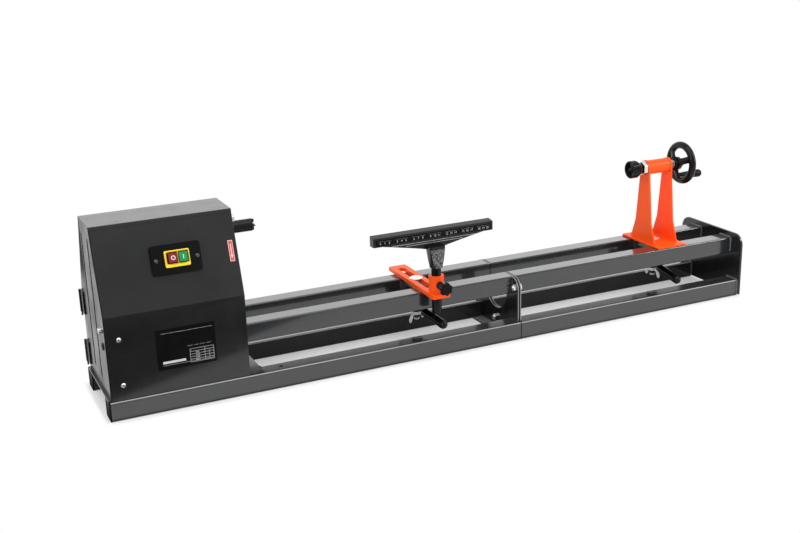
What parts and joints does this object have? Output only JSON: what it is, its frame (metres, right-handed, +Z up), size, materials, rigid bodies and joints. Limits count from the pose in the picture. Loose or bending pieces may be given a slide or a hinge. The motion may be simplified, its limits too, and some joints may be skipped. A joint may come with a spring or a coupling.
{
  "type": "benchtop wood lathe",
  "caption": "Benchtop wood lathe: square-tube bed in two halves, belt-drive headstock with side door, tool rest on a banjo and tailstock with handwheel.",
  "frame": {"origin": "middle of the rectangle of the four bench bolt holes, on the bench surface, at the bed joint", "axes": "+X along the bed from headstock to tailstock, +Y to the back, +Z up"},
  "size_m": [1.4547, 0.2595, 0.3572],
  "materials": {
    "frame_paint": "gloss powder coat",
    "housing_paint": "gloss powder coat",
    "orange_paint": "gloss powder coat",
    "black_iron": "painted black casting",
    "black_steel": "black oxide",
    "zinc": "zinc plated",
    "steel": "turned",
    "alloy": "cast",
    "black_plastic": "satin",
    "yellow_plastic": "gloss",
    "red_plastic": "gloss",
    "green_plastic": "gloss",
    "label": "printed film",
    "plate": "printed plate",
    "belt_rubber": "matt"
  },
  "bodies": {
    "frame": {"left_lower_rails": "frame_paint", "right_lower_rails": "frame_paint", "left_upper_rails": "frame_paint", "right_upper_rails": "frame_paint", "left_joint_plate": "frame_paint", "right_joint_plate": "frame_paint", "joint_bolts": "zinc", "end_plate": "frame_paint", "rail_end_caps": "black_plastic", "headstock_base": "frame_paint", "front_panel": "housing_paint", "back_panel": "housing_paint", "top_panel": "housing_paint", "right_side_plate": "housing_paint", "inner_plate": "zinc", "door_frame": "housing_paint", "panel_screws": "zinc", "data_plate": "plate", "bearing_housings": "alloy", "bearings": "steel", "bearing_bolts": "zinc", "motor": "alloy", "drive_belt": "belt_rubber", "switch_box": "black_plastic", "switch_frame": "yellow_plastic", "switch_screws": "zinc", "cable_gland": "black_plastic", "direction_sticker": "label", "hinge_leaves": "black_steel"},
    "side_door": {"side_door": "housing_paint", "door_leaves": "black_steel"},
    "door_screw": {"door_screw": "zinc"},
    "spindle": {"spindle": "steel", "spindle_pulley": "alloy", "drive_centre": "black_steel"},
    "motor_rotor": {"motor_shaft": "steel", "motor_pulley": "alloy"},
    "stop_button": {"stop_button": "red_plastic"},
    "start_button": {"start_button": "green_plastic"},
    "rest_clamp": {"rest_clamp_plate": "black_steel"},
    "rest_bolt": {"rest_clamp_bolt": "zinc"},
    "rest_lever": {"rest_lever": "black_plastic"},
    "rest_wing_nut": {"rest_wing_nut": "zinc"},
    "banjo": {"banjo": "orange_paint"},
    "star_knob": {"star_knob": "black_plastic"},
    "rest_post": {"rest_post": "black_steel"},
    "tool_rest": {"rest_head": "black_iron", "rest_scale": "label"},
    "tailstock": {"tailstock_base": "orange_paint", "tailstock_sides": "orange_paint", "tail_clamp_bolt": "zinc", "tail_clamp_plate": "black_steel"},
    "tail_lever": {"tail_lever": "black_plastic"},
    "tail_wing_nut": {"tail_wing_nut": "zinc"},
    "live_centre": {"live_centre_body": "black_iron"},
    "feed_wheel": {"tail_screw": "steel", "handwheel": "black_iron"},
    "live_cup": {"live_centre_cup": "black_iron"},
    "lock_nut": {"lock_nut": "zinc"},
    "crank": {"crank_handle": "black_plastic"}
  },
  "joints": [
    {"name": "side_door_hinge", "type": "hinge", "parent": "frame", "child": "side_door", "pos_m": [-0.8672, 0.1, 0.122], "axis": [0, 0, -1], "range_deg": [0, 110]},
    {"name": "door_screw_turn", "type": "hinge", "parent": "side_door", "child": "door_screw", "pos_m": [-0.8672, -0.077, 0.172], "axis": [1, 0, 0], "range_deg": [-180, 180]},
    {"name": "spindle_spin", "type": "hinge", "parent": "frame", "child": "spindle", "pos_m": [-0.7, 0, 0.3069], "axis": [1, 0, 0], "continuous": true},
    {"name": "motor_spin", "type": "hinge", "parent": "frame", "child": "motor_rotor", "pos_m": [-0.75, 0, 0.13], "axis": [1, 0, 0], "continuous": true},
    {"name": "stop_press", "type": "slide", "parent": "frame", "child": "stop_button", "axis": [0, 0.9505, -0.3107], "range_m": [0, 0.003], "stiffness_N_per_m": 400},
    {"name": "start_press", "type": "slide", "parent": "frame", "child": "start_button", "axis": [0, 0.9505, -0.3107], "range_m": [0, 0.003], "stiffness_N_per_m": 400},
    {"name": "rest_along_bed", "type": "slide", "parent": "frame", "child": "rest_clamp", "axis": [1, 0, 0], "range_m": [-0.25, 0.15]},
    {"name": "banjo_swivel", "type": "hinge", "parent": "rest_clamp", "child": "rest_bolt", "pos_m": [-0.197, 0, 0.1], "axis": [0, 0, 1], "range_deg": [-28, 28]},
    {"name": "banjo_slide", "type": "slide", "parent": "rest_bolt", "child": "banjo", "axis": [0.0175, 0.9998, 0], "range_m": [-0.07, 0.01]},
    {"name": "rest_lever_turn", "type": "hinge", "parent": "rest_bolt", "child": "rest_lever", "pos_m": [-0.197, 0, 0.079], "axis": [0, 0, 1], "range_deg": [-40, 40]},
    {"name": "rest_wing_nut_turn", "type": "hinge", "parent": "rest_bolt", "child": "rest_wing_nut", "pos_m": [-0.197, 0, 0.06], "axis": [0, 0, 1], "range_deg": [-180, 180]},
    {"name": "star_knob_turn", "type": "hinge", "parent": "banjo", "child": "star_knob", "pos_m": [-0.19875, -0.09999, 0.1583], "axis": [-0.0175, -0.9998, 0], "range_deg": [-180, 180]},
    {"name": "rest_height", "type": "slide", "parent": "banjo", "child": "rest_post", "axis": [0, 0, 1], "range_m": [-0.015, 0.045]},
    {"name": "rest_turn", "type": "hinge", "parent": "rest_post", "child": "tool_rest", "pos_m": [-0.19875, -0.09999, 0.21], "axis": [0, 0, 1], "range_deg": [-90, 90]},
    {"name": "tailstock_along_bed", "type": "slide", "parent": "frame", "child": "tailstock", "axis": [1, 0, 0], "range_m": [-0.32, 0.088]},
    {"name": "tail_lever_turn", "type": "hinge", "parent": "tailstock", "child": "tail_lever", "pos_m": [0.413, 0, 0.079], "axis": [0, 0, 1], "range_deg": [-40, 40]},
    {"name": "tail_wing_nut_turn", "type": "hinge", "parent": "tailstock", "child": "tail_wing_nut", "pos_m": [0.413, 0, 0.06], "axis": [0, 0, 1], "range_deg": [-180, 180]},
    {"name": "centre_feed", "type": "slide", "parent": "tailstock", "child": "live_centre", "axis": [-1, 0, 0], "range_m": [0, 0.012]},
    {"name": "handwheel_turn", "type": "hinge", "parent": "live_centre", "child": "feed_wheel", "pos_m": [0.46, 0, 0.3069], "axis": [-1, 0, 0], "range_deg": [0, 1728]},
    {"name": "cup_spin", "type": "hinge", "parent": "live_centre", "child": "live_cup", "pos_m": [0.348, 0, 0.3069], "axis": [1, 0, 0], "continuous": true},
    {"name": "lock_nut_turn", "type": "hinge", "parent": "tailstock", "child": "lock_nut", "pos_m": [0.374, 0, 0.3069], "axis": [1, 0, 0], "range_deg": [-120, 0]},
    {"name": "crank_spin", "type": "hinge", "parent": "feed_wheel", "child": "crank", "pos_m": [0.52, 0.01901, 0.27114], "axis": [1, 0, 0], "continuous": true}
  ],
  "couplings": [
    {"joint": "motor_spin", "follows": "spindle_spin", "ratio": 1.1294},
    {"joint": "centre_feed", "follows": "handwheel_turn", "m_per_rad": 0.00039789}
  ]
}
